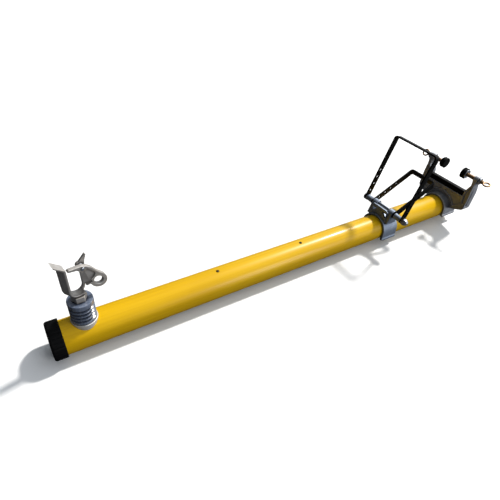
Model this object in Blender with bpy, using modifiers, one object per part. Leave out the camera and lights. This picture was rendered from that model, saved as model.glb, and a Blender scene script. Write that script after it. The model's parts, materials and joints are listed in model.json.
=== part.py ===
"""Insulated conductor support arm: a foam-filled glass-fibre pole with a conductor fork on a
stand-off insulator at one end and a screw-clamp crossarm bracket and two swing bails at the other.

World frame, in metres: +X runs along the pole from the rubber cap to the crossarm bracket, +Z is up,
and the pole's axis is y = z = 0. The cap's outer face is at x = 0.
"""
import math

import bmesh
import bpy
from mathutils import Matrix, Vector

# ---------------------------------------------------------------- driving dimensions
GAP = 0.0003                      # clearance between touching pieces
POLE_R = 0.0381                   # 3 in pole
POLE_WALL = 0.0048
POLE_END_X = 1.292
BORE_R = POLE_R - POLE_WALL

CAP_R = 0.0428
CAP_LENGTH = 0.027
CAP_FLOOR = 0.006
CAP_RIBS = 24
CAP_RIB_DEPTH = 0.0011

PLUG_LENGTH = 0.010
FOAM_START_X = 0.120

INSULATOR_X = 0.0765              # axis of the insulator and the fork
SEAT_R = 0.0278
SEAT_TOP_Z = 0.0405
SHED_R = 0.0258
SHED_ROOT_R = 0.0212
INSULATOR_TOP_Z = 0.093
SHED_COUNT = 4
STUD_R = 0.0063
STUD_BORE_R = STUD_R + 0.0004     # every hole the stud passes through
STUD_BOTTOM_Z = 0.0105
STUD_TOP_Z = 0.098
HEX_BOSS_ACROSS = 0.027
HEX_BOSS_TOP_Z = 0.107
SET_SCREW_Z = 0.1025
SET_SCREW_R = 0.0021

FORK_YAW = math.radians(10.0)
FORK_HALF_GAP = 0.0138
FORK_STRAP = 0.0036
FORK_HALF_WIDTH = 0.010
FORK_BOTTOM_Z = HEX_BOSS_TOP_Z + GAP
FORK_HORN_Z = 0.182               # where the left horn flares out
FORK_HORN_OUT = 0.0206
FORK_HORN_UP = 0.0195
FORK_BACK_R = 0.0255              # the left arm swells outward to this at its far side
KEEPER_SHOULDER_Z = 0.113         # the right arm is half as wide above this height
KEEPER_ARM_STEP_Z = 0.158         # and thinner still above this one, behind the keeper
KEEPER_ARM_FRONT = -0.0036        # near face of that thin upper arm, along the fork's width
KEEPER_PIVOT = (0.0165, 0.1715)   # (across the fork, height)
KEEPER_EYE = (0.0422, 0.1289)
KEEPER_WEB_DEPTH = 0.0035
KEEPER_BACK, KEEPER_FRONT = 0.0005, 0.0095
KEEPER_PIN_R = 0.003

POLE_RIVET_XS = (0.391, 0.646)
RIVET_SHANK_R = 0.0029
RIVET_HOLE_R = 0.0033

COLLAR_X = (0.936, 0.994)
SADDLE_R = POLE_R + GAP
SADDLE_WALL = 0.0068
COLLAR_LEG_Z = -0.022
BAIL_BOLT_X, BAIL_BOLT_Z = 0.9595, 0.0642
BAIL_BOLT_R = 0.0062
COLLAR_BOSS_R = 0.0125
COLLAR_BOSS_Y = (0.022, 0.040)
BAIL_STRAP = 0.0045
BAIL_WIDTH = 0.019
SMALL_BAIL_Y = 0.0403             # inner face of a small bail leg
LARGE_BAIL_Y = 0.0697
SMALL_BAIL_LENGTH = 0.1592
LARGE_BAIL_LENGTH = 0.1986
SMALL_BAIL_LEAN = math.radians(62.8)
LARGE_BAIL_LEAN = math.radians(14.8)
BAIL_HOLE_PITCH = 0.023
BAIL_HOLE_R = 0.0046
BAIL_HOLES = 4
BAIL_WASHER = 0.0014
DOME_NUT_ACROSS = 0.0175

BRACKET_SLEEVE_X = (1.224, 1.290)
BRACKET_LEG_Z = -0.018
BRACKET_FRONT_X = 1.244
BRACKET_DEPTH = 0.034
BRACKET_WEB = 0.007
BRACKET_FRONT_RECESS = 0.003
SEAT_PAD_HALF = 0.068
SEAT_PAD_Z = (0.0743, 0.0905)
SEAT_PAD_DEPTH = 0.0145
SCREW_X, SCREW_Z = 1.2562, 0.1386
SCREW_R = 0.0062
SCREW_BOSS_R = 0.0122
SCREW_BOSS_Y = (0.076, 0.091)
EYE_CENTRE_Y = 0.116
EYE_MAJOR_R, EYE_MINOR_R = 0.0096, 0.0025
PAD_Y = (0.0315, 0.0455)
PAD_R = 0.017
LOCK_NUT_ACROSS = 0.019
FAR_EYE_ROLL = math.radians(115.0)
NEAR_EYE_ROLL = math.radians(9.0)

FINE, MEDIUM, COARSE = 36, 24, 16  # segments round a turned shape

for leftover in list(bpy.data.objects):
    bpy.data.objects.remove(leftover, do_unlink=True)


def new_collection(name):
    """A new collection in the scene."""
    collection = bpy.data.collections.new(name)
    bpy.context.scene.collection.children.link(collection)
    return collection


PARTS = new_collection("conductor_support_arm")
TOOLS = new_collection("cutters")


# ---------------------------------------------------------------- materials
def material(name, colour, roughness, metallic):
    """A Principled material."""
    made = bpy.data.materials.new(name)
    made.use_nodes = True
    shader = made.node_tree.nodes["Principled BSDF"]
    shader.inputs["Base Color"].default_value = (*colour, 1.0)
    shader.inputs["Roughness"].default_value = roughness
    shader.inputs["Metallic"].default_value = metallic
    return made


YELLOW = ("yellow_gelcoat", (0.83, 0.52, 0.01), 0.25, 0.0)
FOAM = ("pale_foam", (0.72, 0.62, 0.38), 0.95, 0.0)
RUBBER = ("black_rubber", (0.015, 0.015, 0.016), 0.7, 0.0)
PLUG = ("grey_plug", (0.12, 0.12, 0.12), 0.6, 0.0)
GLAZE = ("blue_grey_insulator", (0.25, 0.28, 0.35), 0.2, 0.0)
CASTING = ("cast_aluminium", (0.42, 0.42, 0.42), 0.45, 1.0)
ZINC = ("zinc_steel", (0.55, 0.56, 0.58), 0.35, 1.0)
BLACK_STEEL = ("black_painted_steel", (0.02, 0.018, 0.017), 0.45, 0.3)
BRONZE = ("bronze", (0.34, 0.22, 0.12), 0.4, 1.0)
DARK_RIVET = ("dark_rivet", (0.06, 0.05, 0.03), 0.5, 0.8)


# ---------------------------------------------------------------- placing and shaping
def axes(origin, x_axis, y_axis):
    """A transform whose local X and Y run along the two given directions."""
    x_axis = Vector(x_axis).normalized()
    y_axis = Vector(y_axis).normalized()
    z_axis = x_axis.cross(y_axis)
    turn = Matrix((x_axis, y_axis, z_axis)).transposed().to_4x4()
    return Matrix.Translation(Vector(origin)) @ turn


def along_x(x=0.0, y=0.0, z=0.0):
    """Local Z runs along world X; local X along world Y; local Y along world Z."""
    return axes((x, y, z), (0, 1, 0), (0, 0, 1))


def along_y(x=0.0, y=0.0, z=0.0, side=1):
    """Local Z runs along world Y (side 1) or against it (side -1)."""
    return axes((x, y, z), (side, 0, 0), (0, 0, -1))


def along_z(x=0.0, y=0.0, z=0.0):
    """Local axes parallel to the world's."""
    return Matrix.Translation((x, y, z))


FORK_ACROSS = Vector((math.cos(FORK_YAW), math.sin(FORK_YAW), 0.0))
FORK_TOWARD = Vector((math.sin(FORK_YAW), -math.cos(FORK_YAW), 0.0))


def on_fork(across=0.0, toward=0.0, height=0.0):
    """Local X across the fork, local Y up, local Z along the fork's width."""
    spot = Vector((INSULATOR_X, 0, height)) + FORK_ACROSS * across + FORK_TOWARD * toward
    return axes(spot, FORK_ACROSS, (0, 0, 1))


def new_object(name, data, matrix, collection):
    """An object for the data, placed by a transform."""
    made = bpy.data.objects.new(name, data)
    collection.objects.link(made)
    made.matrix_world = matrix
    return made


def arc(centre, radius, start, end, count):
    """Points round an arc, angles in degrees."""
    spots = []
    for i in range(count + 1):
        angle = math.radians(start + (end - start) * i / count)
        spots.append((centre[0] + radius * math.cos(angle), centre[1] + radius * math.sin(angle)))
    return spots


def circle(centre, radius, count=MEDIUM):
    """A closed circle of points."""
    return arc(centre, radius, 0, 360, count)[:-1]


def rounded(corners, radius, count=4):
    """A closed outline with its corners rounded by quadratic curves."""
    spots = []
    for i, corner in enumerate(corners):
        here = Vector(corner)
        before = Vector(corners[i - 1]) - here
        after = Vector(corners[(i + 1) % len(corners)]) - here
        reach = min(radius, before.length * 0.45, after.length * 0.45)
        first = here + before.normalized() * reach
        last = here + after.normalized() * reach
        for k in range(count + 1):
            t = k / count
            spots.append((1 - t) ** 2 * first + 2 * t * (1 - t) * here + t * t * last)
    return [(spot.x, spot.y) for spot in spots]


def slab(name, loops, matrix, depth, start=0.0, edge=0.0, tool=False):
    """A flat outline with holes, from local z = start to start + depth, edges rounded by edge."""
    curve = bpy.data.curves.new(name, "CURVE")
    curve.dimensions = "2D"
    curve.fill_mode = "BOTH"
    curve.extrude = depth / 2 - edge
    curve.bevel_depth = edge
    curve.bevel_resolution = 0
    curve.offset = -edge
    for loop in loops:
        spline = curve.splines.new("POLY")
        spline.points.add(len(loop) - 1)
        for point, (x, y) in zip(spline.points, loop):
            point.co = (x, y, 0.0, 1.0)
        spline.use_cyclic_u = True
    shift = matrix @ Matrix.Translation((0, 0, start + depth / 2))
    outline = new_object(name + "_outline", curve, shift, TOOLS)
    bpy.context.view_layer.update()
    seen = outline.evaluated_get(bpy.context.evaluated_depsgraph_get())
    mesh = bpy.data.meshes.new_from_object(seen)
    work = bmesh.new()
    work.from_mesh(mesh)
    bmesh.ops.remove_doubles(work, verts=work.verts, dist=0.000001)
    bmesh.ops.recalc_face_normals(work, faces=work.faces)
    work.to_mesh(mesh)
    work.free()
    made = new_object(name, mesh, shift, TOOLS if tool else PARTS)
    bpy.data.objects.remove(outline, do_unlink=True)
    if tool:
        hide(made)
    return made


def turned(name, profile, matrix, steps=MEDIUM, ring=False, tool=False):
    """A turned shape about local Z: (radius, height) points from top to bottom down the outside."""
    mesh = bpy.data.meshes.new(name)
    count = len(profile)
    edges = [(i, i + 1) for i in range(count - 1)]
    if ring:
        edges.append((count - 1, 0))
    mesh.from_pydata([(radius, 0.0, height) for radius, height in profile], edges, [])
    made = new_object(name, mesh, matrix, TOOLS if tool else PARTS)
    screw = made.modifiers.new("turn", "SCREW")
    screw.axis = "Z"
    screw.steps = screw.render_steps = steps
    screw.use_merge_vertices = True
    screw.merge_threshold = 0.00001
    if tool:
        hide(made)
    return made


def rod(name, radius, low, high, matrix, steps=MEDIUM, tool=False, chamfer=0.0):
    """A solid cylinder along local Z."""
    if chamfer:
        top = [(0, high), (radius - chamfer, high), (radius, high - chamfer)]
        bottom = [(radius, low + chamfer), (radius - chamfer, low), (0, low)]
        return turned(name, top + bottom, matrix, steps, tool=tool)
    return turned(name, [(0, high), (radius, high), (radius, low), (0, low)], matrix, steps, tool=tool)


def tube(name, outer, inner, low, high, matrix, steps=MEDIUM, tool=False):
    """A hollow cylinder along local Z."""
    profile = [(outer, high), (outer, low), (inner, low), (inner, high)]
    return turned(name, profile, matrix, steps, ring=True, tool=tool)


def box(name, low, high, matrix, tool=False):
    """A box between two local corners."""
    mesh = bpy.data.meshes.new(name)
    work = bmesh.new()
    bmesh.ops.create_cube(work, size=1.0)
    middle = (Vector(low) + Vector(high)) / 2
    size = Vector(high) - Vector(low)
    bmesh.ops.scale(work, vec=size, verts=work.verts)
    bmesh.ops.translate(work, vec=middle, verts=work.verts)
    work.to_mesh(mesh)
    work.free()
    made = new_object(name, mesh, matrix, TOOLS if tool else PARTS)
    if tool:
        hide(made)
    return made


def hexagon(across):
    """A hexagon outline of the given width across its flats."""
    return circle((0, 0), across / math.sqrt(3), 6)


def hide(made):
    """Mark an object as a cutter."""
    made.hide_render = True
    made.display_type = "WIRE"


def combine(target, other, operation):
    """A live EXACT boolean of the target with another object, which becomes a cutter."""
    if other.name in PARTS.objects:
        PARTS.objects.unlink(other)
        TOOLS.objects.link(other)
    hide(other)
    step = target.modifiers.new(operation.lower(), "BOOLEAN")
    step.operation = operation
    step.solver = "EXACT"
    step.object = other


def cut(target, *others):
    """Subtract objects."""
    for other in others:
        combine(target, other, "DIFFERENCE")


def join(target, *others):
    """Add objects."""
    for other in others:
        combine(target, other, "UNION")


def finish(made, look):
    """Give a part its own material."""
    name, colour, roughness, metallic = look
    made.data.materials.clear()
    made.data.materials.append(material(f"{made.name}_{name}", colour, roughness, metallic))
    return made


def pivot_empty(name, matrix):
    """An empty on a joint's axis."""
    made = bpy.data.objects.new(name, None)
    PARTS.objects.link(made)
    made.matrix_world = matrix
    bpy.context.view_layer.update()
    return made


def hang(parent, *children):
    """Parent objects and keep them where they are."""
    for child in children:
        child.parent = parent
        child.matrix_parent_inverse = parent.matrix_world.inverted()


# ---------------------------------------------------------------- pole
def build_pole():
    """The pole, its foam core, its end plugs and its two rivets."""
    pole = tube("pole_tube", POLE_R, BORE_R, CAP_FLOOR + GAP, POLE_END_X, along_x(), FINE)
    cut(pole, rod("stud_hole", STUD_BORE_R, 0.02, 0.05, along_z(INSULATOR_X), COARSE, tool=True))
    rivet_xs = (*POLE_RIVET_XS, *collar_rivet_xs(), *bracket_screw_xs())
    for number, x in enumerate(rivet_xs):
        cut(pole, rod(f"rivet_hole_{number}", RIVET_HOLE_R, 0.02, 0.05, along_z(x), COARSE, tool=True))
    finish(pole, YELLOW)
    plug_r = BORE_R - GAP
    start = CAP_FLOOR + 2 * GAP
    finish(rod("cap_end_plug", plug_r, start, start + PLUG_LENGTH, along_x(), FINE, chamfer=0.001), PLUG)
    end = POLE_END_X - 0.002
    finish(rod("bracket_end_plug", plug_r, end - PLUG_LENGTH, end, along_x(), FINE, chamfer=0.001), PLUG)
    foam_end = end - PLUG_LENGTH - GAP
    finish(rod("foam_core", plug_r, FOAM_START_X, foam_end, along_x(), FINE), FOAM)
    for number, x in enumerate(POLE_RIVET_XS, 1):
        finish(rivet(f"pole_rivet_{number}", x, POLE_R + GAP, 0.0042, 0.0016), DARK_RIVET)


def rivet(name, x, head_z, head_r, head_height):
    """A blind rivet or screw through the top of the pole, its head sitting at head_z."""
    head = [(0, head_height), (head_r * 0.55, head_height * 0.85), (head_r * 0.9, head_height * 0.45)]
    shank_end = BORE_R + GAP * 2 - head_z
    shank = [(head_r, 0), (RIVET_SHANK_R, 0), (RIVET_SHANK_R, shank_end), (0, shank_end)]
    return turned(name, head + shank, along_z(x, 0, head_z), COARSE)


def collar_rivet_xs():
    """Where the two collar rivets sit along the pole."""
    return (BAIL_BOLT_X - 0.0015, COLLAR_X[1] - 0.0080)


def bracket_screw_xs():
    """Where the two bracket screws sit along the pole."""
    return (BRACKET_FRONT_X + 0.0220, BRACKET_FRONT_X + BRACKET_DEPTH + 0.0062)


def build_cap():
    """The ribbed rubber cup over the pole's end."""
    ribs = []
    root_r = CAP_R - CAP_RIB_DEPTH
    for i in range(CAP_RIBS):
        for offset, radius in ((0.1, CAP_R), (0.5, CAP_R), (0.6, root_r), (1.0, root_r)):
            angle = (i + offset) * 2 * math.pi / CAP_RIBS
            ribs.append((radius * math.cos(angle), radius * math.sin(angle)))
    cap = slab("end_cap", [ribs], along_x(), CAP_LENGTH - 0.004, 0.002)
    rim_r = CAP_R - CAP_RIB_DEPTH * 1.6
    face = [(0, 0.003), (rim_r, 0.003), (rim_r, 0.0012), (rim_r - 0.0012, 0), (0, 0)]
    join(cap, turned("cap_face", face, along_x(), FINE, tool=True))
    lip_top, lip_low = CAP_LENGTH, CAP_LENGTH - 0.003
    lip = [(0, lip_top), (rim_r - 0.001, lip_top), (rim_r, lip_top - 0.001), (rim_r, lip_low), (0, lip_low)]
    join(cap, turned("cap_lip", lip, along_x(), FINE, tool=True))
    cut(cap, rod("cap_bore", POLE_R + GAP, CAP_FLOOR, CAP_LENGTH + 0.01, along_x(), FINE, tool=True))
    finish(cap, RUBBER)


# ---------------------------------------------------------------- insulator
def insulator_profile():
    """The shed profile from the top rim down, then up the bore."""
    base = SEAT_TOP_Z + GAP
    top = INSULATOR_TOP_Z
    rim = 0.0018
    points = [(SHED_R - rim, top), (SHED_R, top - rim)]
    first = top - 0.0115
    pitch = (first - base - 0.0035) / SHED_COUNT
    for i in range(SHED_COUNT):
        z = first - i * pitch
        points += [
            (SHED_R, z),
            (SHED_ROOT_R, z - 0.0024),
            (SHED_ROOT_R, z - 0.0044),
            (SHED_R, z - 0.0078),
        ]
    points += [(SHED_R, base), (STUD_BORE_R, base), (STUD_BORE_R, top)]
    return points


def build_insulator():
    """The saddle seat, the insulator, its stud and the hardware inside the pole."""
    spot = along_z(INSULATOR_X)
    bore = STUD_BORE_R
    seat_profile = [
        (SEAT_R - 0.001, SEAT_TOP_Z), (SEAT_R, SEAT_TOP_Z - 0.001), (SEAT_R, 0.012),
        (bore, 0.012), (bore, SEAT_TOP_Z),
    ]
    seat = turned("insulator_seat", seat_profile, spot, FINE, ring=True)
    cut(seat, rod("seat_saddle", SADDLE_R, -0.02, 0.2, along_x(), FINE, tool=True))
    finish(seat, CASTING)
    finish(turned("insulator_body", insulator_profile(), spot, FINE, ring=True), GLAZE)
    stud = rod("insulator_stud", STUD_R, STUD_BOTTOM_Z, STUD_TOP_Z, spot, COARSE, chamfer=0.0008)
    finish(stud, ZINC)
    backing = tube("stud_backing_washer", 0.015, bore, 0.024, 0.036, spot)
    combine(backing, rod("bore_shape", BORE_R - GAP, 0.03, 0.13, along_x(), FINE, tool=True), "INTERSECT")
    finish(backing, ZINC)
    finish(tube("stud_lock_washer", 0.0105, bore, 0.0222, 0.0237, spot, COARSE), ZINC)
    nut_low = STUD_BOTTOM_Z + 0.0015
    nut = slab("stud_nut", [hexagon(0.019), circle((0, 0), bore, COARSE)], spot,
               0.0219 - nut_low, nut_low, 0.0004)
    finish(nut, ZINC)
    boss_low = INSULATOR_TOP_Z + GAP
    boss = slab("hex_boss", [hexagon(HEX_BOSS_ACROSS), circle((0, 0), bore, COARSE)], spot,
                HEX_BOSS_TOP_Z - boss_low, boss_low, 0.0006)
    screw_at = along_y(INSULATOR_X, 0, SET_SCREW_Z)
    cut(boss, rod("set_screw_hole", SET_SCREW_R + GAP, 0.0, 0.02, screw_at, COARSE, tool=True))
    finish(boss, CASTING)
    finish(rod("fork_set_screw", SET_SCREW_R, 0.0051, 0.0132, screw_at, COARSE), ZINC)


# ---------------------------------------------------------------- fork and keeper
def fork_strap():
    """The fork's bent strap seen along its width: left horn, U and right arm."""
    inner, outer = FORK_HALF_GAP, FORK_HALF_GAP + FORK_STRAP
    low = FORK_BOTTOM_Z + outer
    tip = (-inner - FORK_HORN_OUT, FORK_HORN_Z + FORK_HORN_UP)
    left = [(tip[0] + 0.0010, tip[1] - 0.0055), (-outer, FORK_HORN_Z - 0.0010)]
    bottom = arc((0, low), outer, 180, 360, 16)
    right = [(outer, KEEPER_PIVOT[1]), (inner, KEEPER_PIVOT[1] + 0.0035)]
    inside = arc((0, low), inner, 360, 180, 16)
    return left + bottom + right + inside + [(-inner, FORK_HORN_Z + 0.0010), tip]


def swollen_arm(spot):
    """The left arm's outer side, which slopes outward from its near edge to its far edge."""
    outer = FORK_HALF_GAP + FORK_STRAP
    sunk = 0.0004
    front, back = FORK_HALF_WIDTH - sunk, sunk - FORK_HALF_WIDTH
    low = FORK_BOTTOM_Z + outer
    inside = -outer + 0.0020
    side = [
        (inside, low), (-FORK_BACK_R, low), (-FORK_BACK_R - 0.0005, 0.158),
        (-FORK_BACK_R - 0.0005, FORK_HORN_Z + 0.0075), (inside, FORK_HORN_Z),
    ]
    arm = slab("arm_swell", [side], spot, front - back, back, tool=True)
    slope = Vector((outer - FORK_BACK_R, 0, back - front)).normalized()
    edge = spot @ Vector((-outer - sunk, 0.15, front))
    slope_at = axes(edge, spot.to_3x3() @ slope, (0, 0, 1))
    cut(arm, box("arm_slope_tool", (-0.01, -0.06, -0.03), (0.03, 0.038, 0.0), slope_at, tool=True))
    around = spot @ Matrix.Translation((0, low, 0))
    cone = [(0, front), (outer, front), (FORK_BACK_R, back), (0, back)]
    foot = turned("arm_foot", cone, around, FINE, tool=True)
    quarter = box("arm_foot_side", (-0.03, FORK_BOTTOM_Z + sunk, -0.02), (-0.004, low + 0.0002, 0.02), spot,
                  tool=True)
    combine(foot, quarter, "INTERSECT")
    hollow = rod("arm_foot_hollow", FORK_HALF_GAP + 0.0015, -0.02, 0.02, around, FINE, tool=True)
    cut(foot, hollow)
    return arm, foot


def build_fork():
    """The swivelling conductor fork with its spigot, horns and pivot boss."""
    inner, outer = FORK_HALF_GAP, FORK_HALF_GAP + FORK_STRAP
    width = 2 * FORK_HALF_WIDTH
    spot = on_fork()
    fork = slab("conductor_fork", [fork_strap()], spot, width, -FORK_HALF_WIDTH, 0.0006)
    neck, groove = 0.0061, 0.0045
    head, foot = FORK_BOTTOM_Z + 0.0025, STUD_TOP_Z + 0.0006
    groove_low, groove_high = SET_SCREW_Z - 0.0025, SET_SCREW_Z + 0.0025
    spigot = [
        (0, head), (neck, head), (neck, groove_high), (groove, groove_high), (groove, groove_low),
        (neck, groove_low), (neck, foot), (0, foot),
    ]
    join(fork, turned("fork_spigot", spigot, along_z(INSULATOR_X), COARSE, tool=True))
    join(fork, *swollen_arm(spot))
    notch_x = inner - 0.0030
    far_x, high_z, near = outer + 0.02, 0.22, FORK_HALF_WIDTH + 0.01
    far = (far_x, high_z, near)
    cut(fork, box("keeper_notch", (notch_x, KEEPER_SHOULDER_Z, -0.0003), far, spot, tool=True))
    cut(fork, box("keeper_step", (notch_x, KEEPER_ARM_STEP_Z, KEEPER_ARM_FRONT), far, spot, tool=True))
    thin = KEEPER_ARM_FRONT + FORK_HALF_WIDTH
    sunk = 0.0004
    root, top = inner + 0.0006, KEEPER_PIVOT[1] + 0.0035
    horn = [
        (root - 0.0039, top - 0.009),
        (root - 0.0039, top - 0.0015),
        (root + 0.0155, top + 0.0190),
        (root + 0.0177, top + 0.0172),
        (root + 0.0130, top + 0.0050),
        (root + 0.0105, top - 0.009),
    ]
    join(fork, slab("right_horn", [rounded(horn, 0.0012, 2)], spot, thin - 2 * sunk,
                    sunk - FORK_HALF_WIDTH, tool=True))
    boss_back = -FORK_HALF_WIDTH - 0.0010
    pivot = on_fork(KEEPER_PIVOT[0], 0, KEEPER_PIVOT[1])
    join(fork, rod("pivot_boss", 0.0072, boss_back, KEEPER_ARM_FRONT - 0.0006, pivot, COARSE, tool=True))
    cut(fork, rod("keeper_pin_hole", KEEPER_PIN_R + 0.0003, -0.02, 0.02, pivot, COARSE, tool=True))
    finish(fork, CASTING)
    return fork


def ellipse(centre, long_axis, long_r, short_r, start, end, count):
    """Points round a tilted ellipse; angles in degrees from its long axis."""
    along = Vector(long_axis).normalized()
    across = Vector((-along.y, along.x))
    spots = []
    for i in range(count + 1):
        angle = math.radians(start + (end - start) * i / count)
        spot = Vector(centre) + along * long_r * math.cos(angle) + across * short_r * math.sin(angle)
        spots.append((spot.x, spot.y))
    return spots


def keeper_outline():
    """The keeper: gate bar to the left of its pivot, arched lever with an eye to the lower right."""
    pivot, eye = Vector(KEEPER_PIVOT), Vector(KEEPER_EYE)
    left, top = -FORK_HALF_GAP, pivot.y + 0.0080
    gate = [
        (0.0055, pivot.y + 0.0006), (left + 0.0032, pivot.y + 0.0033), (left + 0.0018, pivot.y + 0.0065),
        (left + 0.0053, top + 0.0009), (0.0083, top),
    ]
    arch = [(0.0160, top - 0.0006), (0.0245, top - 0.0047), (0.0332, top - 0.0121), (0.0432, top - 0.0275)]
    ring = ellipse(eye, eye - pivot, 0.0200, 0.0163, 105, -110, 18)
    lobe = [(0.0180, 0.1265), (0.0140, 0.1300), (0.0128, 0.1340), (0.0122, 0.1480), (0.0120, 0.1600)]
    return gate + arch + ring + lobe + [(0.0100, pivot.y - 0.0045)]


def build_keeper():
    """The keeper, its pin and its return spring."""
    spot = on_fork()
    thick = KEEPER_FRONT - KEEPER_BACK
    lever = Vector(KEEPER_EYE) - Vector(KEEPER_PIVOT)
    pin_hole = circle(KEEPER_PIVOT, KEEPER_PIN_R + 0.0003, COARSE)
    eye_hole = ellipse(KEEPER_EYE, lever, 0.0106, 0.0084, 0, 345, 23)
    keeper = slab("keeper_lever", [keeper_outline(), eye_hole, pin_hole], spot, thick, KEEPER_BACK, 0.0009)
    recess = [
        (0.0060, 0.1625), (0.0180, 0.1640), (0.0240, 0.1690), (0.0275, 0.1695), (0.0351, 0.1612),
        (0.0383, 0.1495), (0.0342, 0.1415), (0.0245, 0.1365), (0.0060, 0.1300),
    ]
    web = KEEPER_FRONT - KEEPER_WEB_DEPTH
    cut(keeper, slab("web_recess", [rounded(recess, 0.0025)], spot, 0.01, web, tool=True))
    crease, along = Vector((0.0220, 0.1500, web)), Vector((0.204, -0.979, 0))
    far_edge = Vector((0.0129, 0.1475, KEEPER_BACK + 0.0010))
    down = far_edge - crease
    down = (down - along * down.dot(along)).normalized()
    turn = spot.to_3x3()
    bevel_at = axes(spot @ crease, turn @ down, turn @ along)
    cut(keeper, box("lobe_bevel", (-0.004, -0.0140, 0.0), (0.020, 0.0205, 0.020), bevel_at, tool=True))
    finish(keeper, CASTING)
    pivot = on_fork(KEEPER_PIVOT[0], 0, KEEPER_PIVOT[1])
    far_head, near_head = -FORK_HALF_WIDTH - 0.0033, KEEPER_FRONT + 0.0020
    far_seat, near_seat = -FORK_HALF_WIDTH - 0.0013, KEEPER_FRONT + GAP
    head_r = 0.0040
    pin_profile = [
        (0, near_head), (0.0026, near_head), (head_r, near_head - 0.0008), (head_r, near_seat),
        (KEEPER_PIN_R, near_seat), (KEEPER_PIN_R, far_seat), (head_r, far_seat), (head_r, far_head),
        (0, far_head),
    ]
    pin = finish(turned("keeper_pin", pin_profile, pivot, COARSE), ZINC)
    spring = finish(torsion_spring(pivot), ZINC)
    return keeper, pin, spring


def torsion_spring(pivot):
    """A short torsion coil round the keeper's pin, between the keeper and the arm."""
    wire_r, coil_r = 0.0006, 0.0048
    low, high = KEEPER_ARM_FRONT + 0.0002 + wire_r + GAP, KEEPER_BACK - wire_r - GAP
    turns, per_turn = 1.75, 14
    curve = bpy.data.curves.new("keeper_spring", "CURVE")
    curve.dimensions = "3D"
    curve.bevel_depth = wire_r
    curve.bevel_resolution = 1
    curve.use_fill_caps = True
    spline = curve.splines.new("POLY")
    count = int(turns * per_turn)
    spots = []
    for i in range(count + 1):
        angle = 2 * math.pi * i / per_turn
        z = low + (high - low) * i / count
        spots.append((coil_r * math.cos(angle), coil_r * math.sin(angle), z))
    spline.points.add(len(spots) - 1)
    for point, spot in zip(spline.points, spots):
        point.co = (*spot, 1.0)
    return new_object("keeper_spring", curve, pivot, PARTS)


# ---------------------------------------------------------------- bail collar
def saddle_outline(leg_z, wall):
    """An arch over the pole with straight legs and a small outward lip, in (y, z)."""
    outer = SADDLE_R + wall
    lip = 0.0022
    half = [
        (SADDLE_R, leg_z), (outer + lip, leg_z), (outer + lip, leg_z + 0.006), (outer, leg_z + 0.009),
    ]
    over = arc((0, 0), outer, 0, 180, 20)
    under = arc((0, 0), SADDLE_R, 180, 0, 20)
    left = [(-x, z) for x, z in reversed(half)]
    return half + over + left + under


def build_collar():
    """The cast collar with its yoke, its rivets and the bail bolt's hardware."""
    collar = slab("bail_collar", [saddle_outline(COLLAR_LEG_Z, SADDLE_WALL)], along_x(),
                  COLLAR_X[1] - COLLAR_X[0], COLLAR_X[0], 0.0008)
    low_y, high_y = COLLAR_BOSS_Y
    yoke_half, bolt_z = 0.0125, BAIL_BOLT_Z
    for side in (1, -1):
        tag = "far" if side == 1 else "near"
        foot = [(-0.0210, 0.033), (0.0180, 0.033), (yoke_half, bolt_z), (-yoke_half, bolt_z + 0.002)]
        cheek_at = axes((BAIL_BOLT_X, side * (high_y - 0.0006), 0), (side, 0, 0), (0, 0, 1))
        cheek = slab(f"yoke_cheek_{tag}", [rounded(foot, 0.002, 2)], cheek_at, 0.0124, tool=True)
        boss_at = along_y(BAIL_BOLT_X, 0, bolt_z, side)
        boss = rod(f"yoke_boss_{tag}", COLLAR_BOSS_R, low_y, high_y, boss_at, MEDIUM, tool=True,
                   chamfer=0.001)
        join(collar, cheek, boss)
    web = arc((0, 0), 0.0415, 135, 45, 8) + [(0.0290, 0.0690), (-0.0290, 0.0690)]
    left_gap = [(0.0085, 0.0655), (0.0265, 0.0655), (0.0265, 0.0475)]
    right_gap = [(-x, z) for x, z in left_gap]
    web_at = along_x(BAIL_BOLT_X)
    join(collar, slab("yoke_web", [web, rounded(left_gap, 0.002, 3), rounded(right_gap, 0.002, 3)],
                      web_at, 0.006, -0.0190, tool=True))
    bridge_low = (BAIL_BOLT_X - 0.0180, -0.0285, 0.0620)
    bridge_high = (BAIL_BOLT_X + 0.0020, 0.0285, 0.0680)
    join(collar, box("yoke_bridge", bridge_low, bridge_high, along_z(), tool=True))
    for number, x in enumerate((-0.0200, -0.0020)):
        ridge = [(-0.0280, 0.0650), (0.0280, 0.0650), (0.0265, 0.0735), (-0.0265, 0.0735)]
        join(collar, slab(f"yoke_ridge_{number}", [ridge], along_x(BAIL_BOLT_X + x), 0.004, 0, tool=True))
    bolt_at = along_y(BAIL_BOLT_X, 0, bolt_z)
    cut(collar, rod("bolt_bore", BAIL_BOLT_R + 0.0004, -0.06, 0.06, bolt_at, COARSE, tool=True))
    for number, x in enumerate(collar_rivet_xs()):
        hole = rod(f"collar_rivet_hole_{number}", RIVET_HOLE_R, 0.03, 0.055, along_z(x), COARSE, tool=True)
        cut(collar, hole)
    finish(collar, CASTING)
    for tag, x in zip(("front", "rear"), collar_rivet_xs()):
        finish(rivet(f"collar_rivet_{tag}", x, SADDLE_R + SADDLE_WALL + GAP, 0.0055, 0.0022), ZINC)
    build_bail_bolt(bolt_at)


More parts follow.
